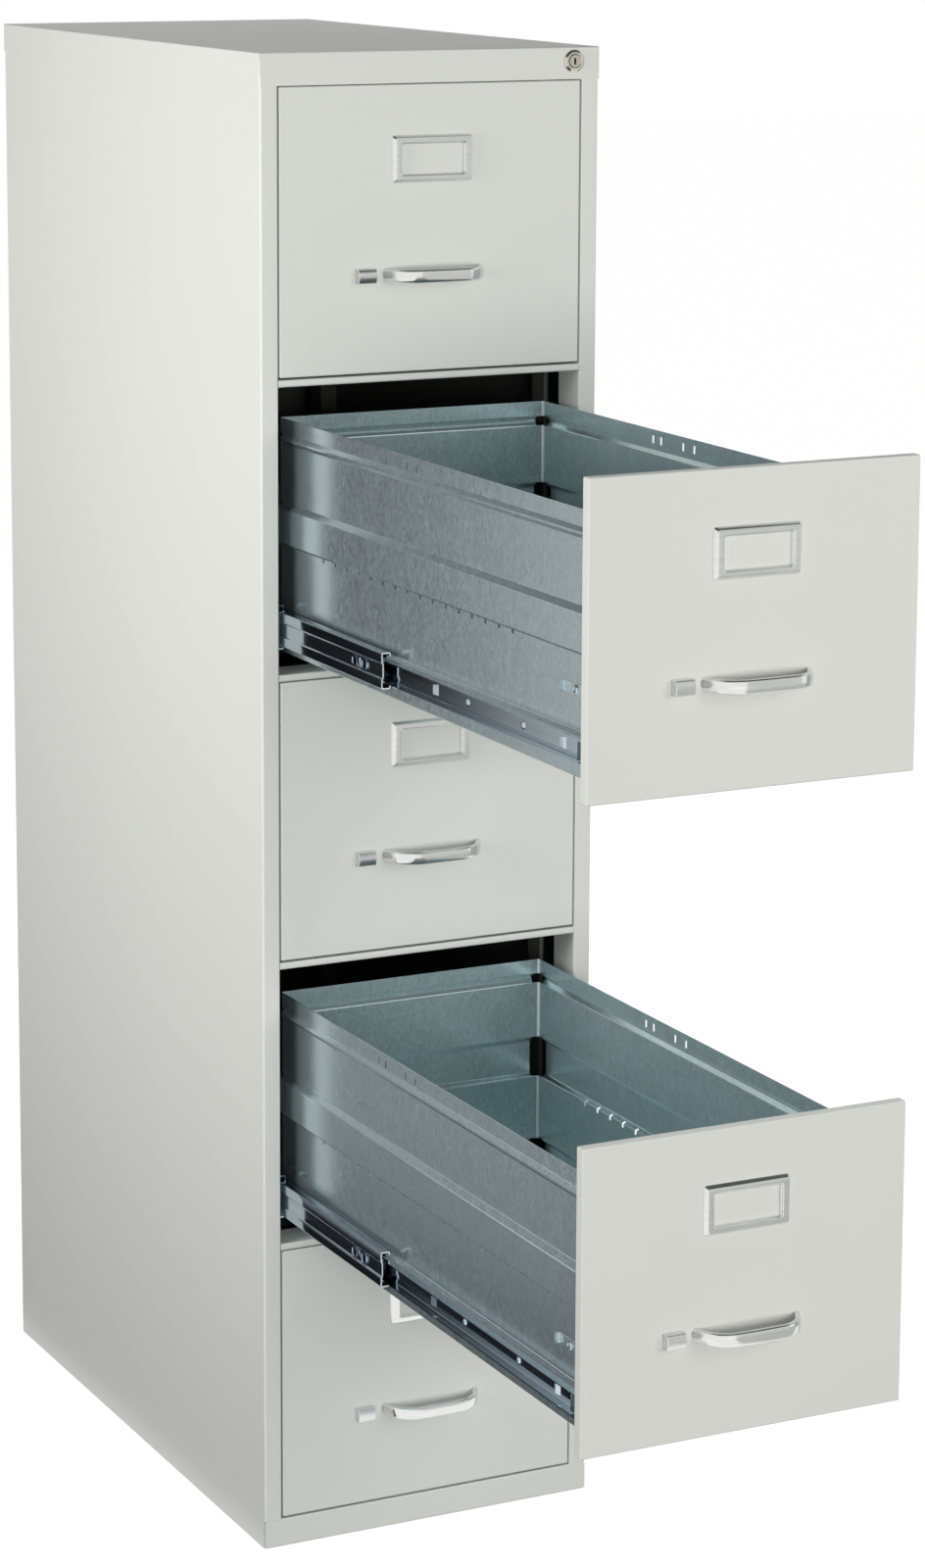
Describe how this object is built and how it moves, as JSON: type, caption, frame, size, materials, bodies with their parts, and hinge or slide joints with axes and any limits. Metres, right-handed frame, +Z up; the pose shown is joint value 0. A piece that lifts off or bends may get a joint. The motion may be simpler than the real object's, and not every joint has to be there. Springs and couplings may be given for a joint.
{
  "type": "filing cabinet",
  "caption": "Tall free-standing vertical filing cabinet of folded sheet steel, with drawers on telescopic slides, bow pulls, thumb latches, label frames and a lock bar; some drawers pulled out.",
  "frame": {"origin": "middle of the footprint, on the floor", "axes": "+X to the right seen from the front, +Y to the back, +Z up; drawers open towards -Y"},
  "size_m": [0.381, 1.408, 1.559],
  "materials": {
    "case_paint": "light grey powder coat, satin",
    "galvanised_steel": "galvanised sheet with fine spangle",
    "zinc_steel": "bright zinc plate",
    "bright_pull": "polished",
    "lock_nickel": "nickel plate",
    "black_steel": "black oxide"
  },
  "bodies": {
    "case": {"left_side_panel": "case_paint", "right_side_panel": "case_paint", "back_panel": "case_paint", "top_cap": "case_paint", "base_pan": "case_paint", "cross_rails": "case_paint", "slide_uprights": "zinc_steel", "outer_slides": "zinc_steel", "levelling_glides": "black_steel", "lock_housing": "lock_nickel", "lock_bar_guides": "zinc_steel"},
    "lock_plug": {"lock_plug": "lock_nickel", "lock_cam": "zinc_steel"},
    "lock_bar": {"lock_bar": "zinc_steel", "lock_fingers": "zinc_steel"},
    "drawer_1": {"drawer_1_front": "case_paint", "drawer_1_box": "galvanised_steel", "drawer_1_bottom": "galvanised_steel", "drawer_1_pull": "bright_pull", "drawer_1_label_frame": "bright_pull", "drawer_1_inner_slides": "zinc_steel"},
    "middle_1": {"drawer_1_middle_slides": "zinc_steel"},
    "latch_1": {"drawer_1_thumb_latch": "bright_pull", "drawer_1_latch_bar": "zinc_steel"},
    "drawer_2": {"drawer_2_front": "case_paint", "drawer_2_box": "galvanised_steel", "drawer_2_bottom": "galvanised_steel", "drawer_2_pull": "bright_pull", "drawer_2_label_frame": "bright_pull", "drawer_2_inner_slides": "zinc_steel"},
    "middle_2": {"drawer_2_middle_slides": "zinc_steel"},
    "latch_2": {"drawer_2_thumb_latch": "bright_pull", "drawer_2_latch_bar": "zinc_steel"},
    "drawer_3": {"drawer_3_front": "case_paint", "drawer_3_box": "galvanised_steel", "drawer_3_bottom": "galvanised_steel", "drawer_3_pull": "bright_pull", "drawer_3_label_frame": "bright_pull", "drawer_3_inner_slides": "zinc_steel"},
    "middle_3": {"drawer_3_middle_slides": "zinc_steel"},
    "latch_3": {"drawer_3_thumb_latch": "bright_pull", "drawer_3_latch_bar": "zinc_steel"},
    "drawer_4": {"drawer_4_front": "case_paint", "drawer_4_box": "galvanised_steel", "drawer_4_bottom": "galvanised_steel", "drawer_4_pull": "bright_pull", "drawer_4_label_frame": "bright_pull", "drawer_4_inner_slides": "zinc_steel"},
    "middle_4": {"drawer_4_middle_slides": "zinc_steel"},
    "latch_4": {"drawer_4_thumb_latch": "bright_pull", "drawer_4_latch_bar": "zinc_steel"},
    "drawer_5": {"drawer_5_front": "case_paint", "drawer_5_box": "galvanised_steel", "drawer_5_bottom": "galvanised_steel", "drawer_5_pull": "bright_pull", "drawer_5_label_frame": "bright_pull", "drawer_5_inner_slides": "zinc_steel"},
    "middle_5": {"drawer_5_middle_slides": "zinc_steel"},
    "latch_5": {"drawer_5_thumb_latch": "bright_pull", "drawer_5_latch_bar": "zinc_steel"}
  },
  "joints": [
    {"name": "drawer_1_slide", "type": "slide", "parent": "case", "child": "drawer_1", "axis": [0, -1, 0], "range_m": [0, 0.655]},
    {"name": "middle_1_slide", "type": "slide", "parent": "case", "child": "middle_1", "axis": [0, -1, 0], "range_m": [0, 0.249]},
    {"name": "latch_1_slide", "type": "slide", "parent": "drawer_1", "child": "latch_1", "axis": [1, 0, 0], "range_m": [0, 0.008], "stiffness_N_per_m": 300},
    {"name": "drawer_2_slide", "type": "slide", "parent": "case", "child": "drawer_2", "axis": [0, -1, 0], "range_m": [-0.655, 0]},
    {"name": "middle_2_slide", "type": "slide", "parent": "case", "child": "middle_2", "axis": [0, -1, 0], "range_m": [-0.249, 0]},
    {"name": "latch_2_slide", "type": "slide", "parent": "drawer_2", "child": "latch_2", "axis": [1, 0, 0], "range_m": [0, 0.008], "stiffness_N_per_m": 300},
    {"name": "drawer_3_slide", "type": "slide", "parent": "case", "child": "drawer_3", "axis": [0, -1, 0], "range_m": [0, 0.655]},
    {"name": "middle_3_slide", "type": "slide", "parent": "case", "child": "middle_3", "axis": [0, -1, 0], "range_m": [0, 0.249]},
    {"name": "latch_3_slide", "type": "slide", "parent": "drawer_3", "child": "latch_3", "axis": [1, 0, 0], "range_m": [0, 0.008], "stiffness_N_per_m": 300},
    {"name": "drawer_4_slide", "type": "slide", "parent": "case", "child": "drawer_4", "axis": [0, -1, 0], "range_m": [-0.655, 0]},
    {"name": "middle_4_slide", "type": "slide", "parent": "case", "child": "middle_4", "axis": [0, -1, 0], "range_m": [-0.249, 0]},
    {"name": "latch_4_slide", "type": "slide", "parent": "drawer_4", "child": "latch_4", "axis": [1, 0, 0], "range_m": [0, 0.008], "stiffness_N_per_m": 300},
    {"name": "drawer_5_slide", "type": "slide", "parent": "case", "child": "drawer_5", "axis": [0, -1, 0], "range_m": [0, 0.655]},
    {"name": "middle_5_slide", "type": "slide", "parent": "case", "child": "middle_5", "axis": [0, -1, 0], "range_m": [0, 0.249]},
    {"name": "latch_5_slide", "type": "slide", "parent": "drawer_5", "child": "latch_5", "axis": [1, 0, 0], "range_m": [0, 0.008], "stiffness_N_per_m": 300},
    {"name": "lock_plug_turn", "type": "hinge", "parent": "case", "child": "lock_plug", "pos_m": [0.1605, -0.362, 1.5445], "axis": [0, -1, 0], "range_deg": [0, 90]},
    {"name": "lock_bar_lift", "type": "slide", "parent": "case", "child": "lock_bar", "axis": [0, 0, 1], "range_m": [0, 0.01414]}
  ],
  "couplings": [
    {"joint": "middle_1_slide", "follows": "drawer_1_slide", "ratio": 0.38},
    {"joint": "middle_2_slide", "follows": "drawer_2_slide", "ratio": 0.38},
    {"joint": "middle_3_slide", "follows": "drawer_3_slide", "ratio": 0.38},
    {"joint": "middle_4_slide", "follows": "drawer_4_slide", "ratio": 0.38},
    {"joint": "middle_5_slide", "follows": "drawer_5_slide", "ratio": 0.38},
    {"joint": "lock_plug_turn", "follows": "lock_bar_lift", "rad_per_m": 111.07}
  ]
}
